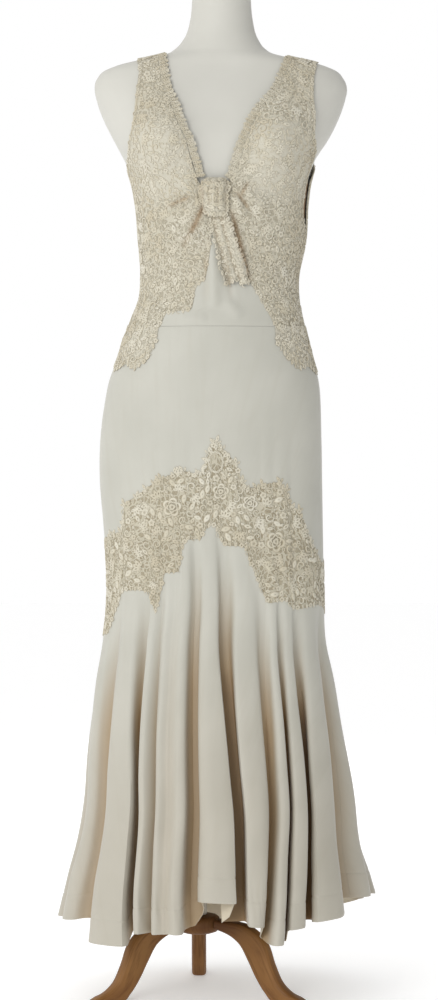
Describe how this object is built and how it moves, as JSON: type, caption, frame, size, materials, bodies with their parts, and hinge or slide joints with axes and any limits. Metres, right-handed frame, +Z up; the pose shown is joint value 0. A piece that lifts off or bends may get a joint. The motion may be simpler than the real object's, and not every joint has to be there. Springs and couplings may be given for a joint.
{
  "type": "sheath dress on a dress form stand",
  "caption": "Floor-length sheath evening gown of crepe and lace with a fluted flare at the hem, worn on a limbless dress form on a tripod stand.",
  "frame": {"origin": "on the floor under the middle of the gown's box", "axes": "+Z up, the gown's front faces -Y, +X is to the right as seen from the front"},
  "size_m": [0.5084, 0.4734, 1.646],
  "materials": {
    "crepe": "cream silk crepe, soft low sheen",
    "lace": "ivory cotton lace of small flowers and leaves on net",
    "placket_tape": "tan woven tape",
    "form_cover": "smooth grey-white stretched cloth",
    "stand_wood": "varnished red-brown wood",
    "stand_pole": "satin steel tube"
  },
  "bodies": {
    "root": {"midriff_front": "crepe", "hip_front": "crepe", "hip_back": "crepe", "flare_front": "crepe", "flare_back": "crepe", "bodice_front_left": "lace", "bodice_front_right": "lace", "bodice_back_left": "lace", "bodice_back_right": "lace", "neck_edging_left": "lace", "neck_edging_right": "lace", "knot": "lace", "knot_tail": "lace", "lace_band_front": "lace", "lace_band_back": "lace", "hip_lace_left": "lace", "hip_lace_right": "lace", "side_placket": "placket_tape", "form_torso": "form_cover", "stand_pole": "stand_pole", "leg_front_left": "stand_wood", "leg_front_right": "stand_wood", "leg_back": "stand_wood", "stand_hub": "stand_wood"}
  },
  "joints": []
}
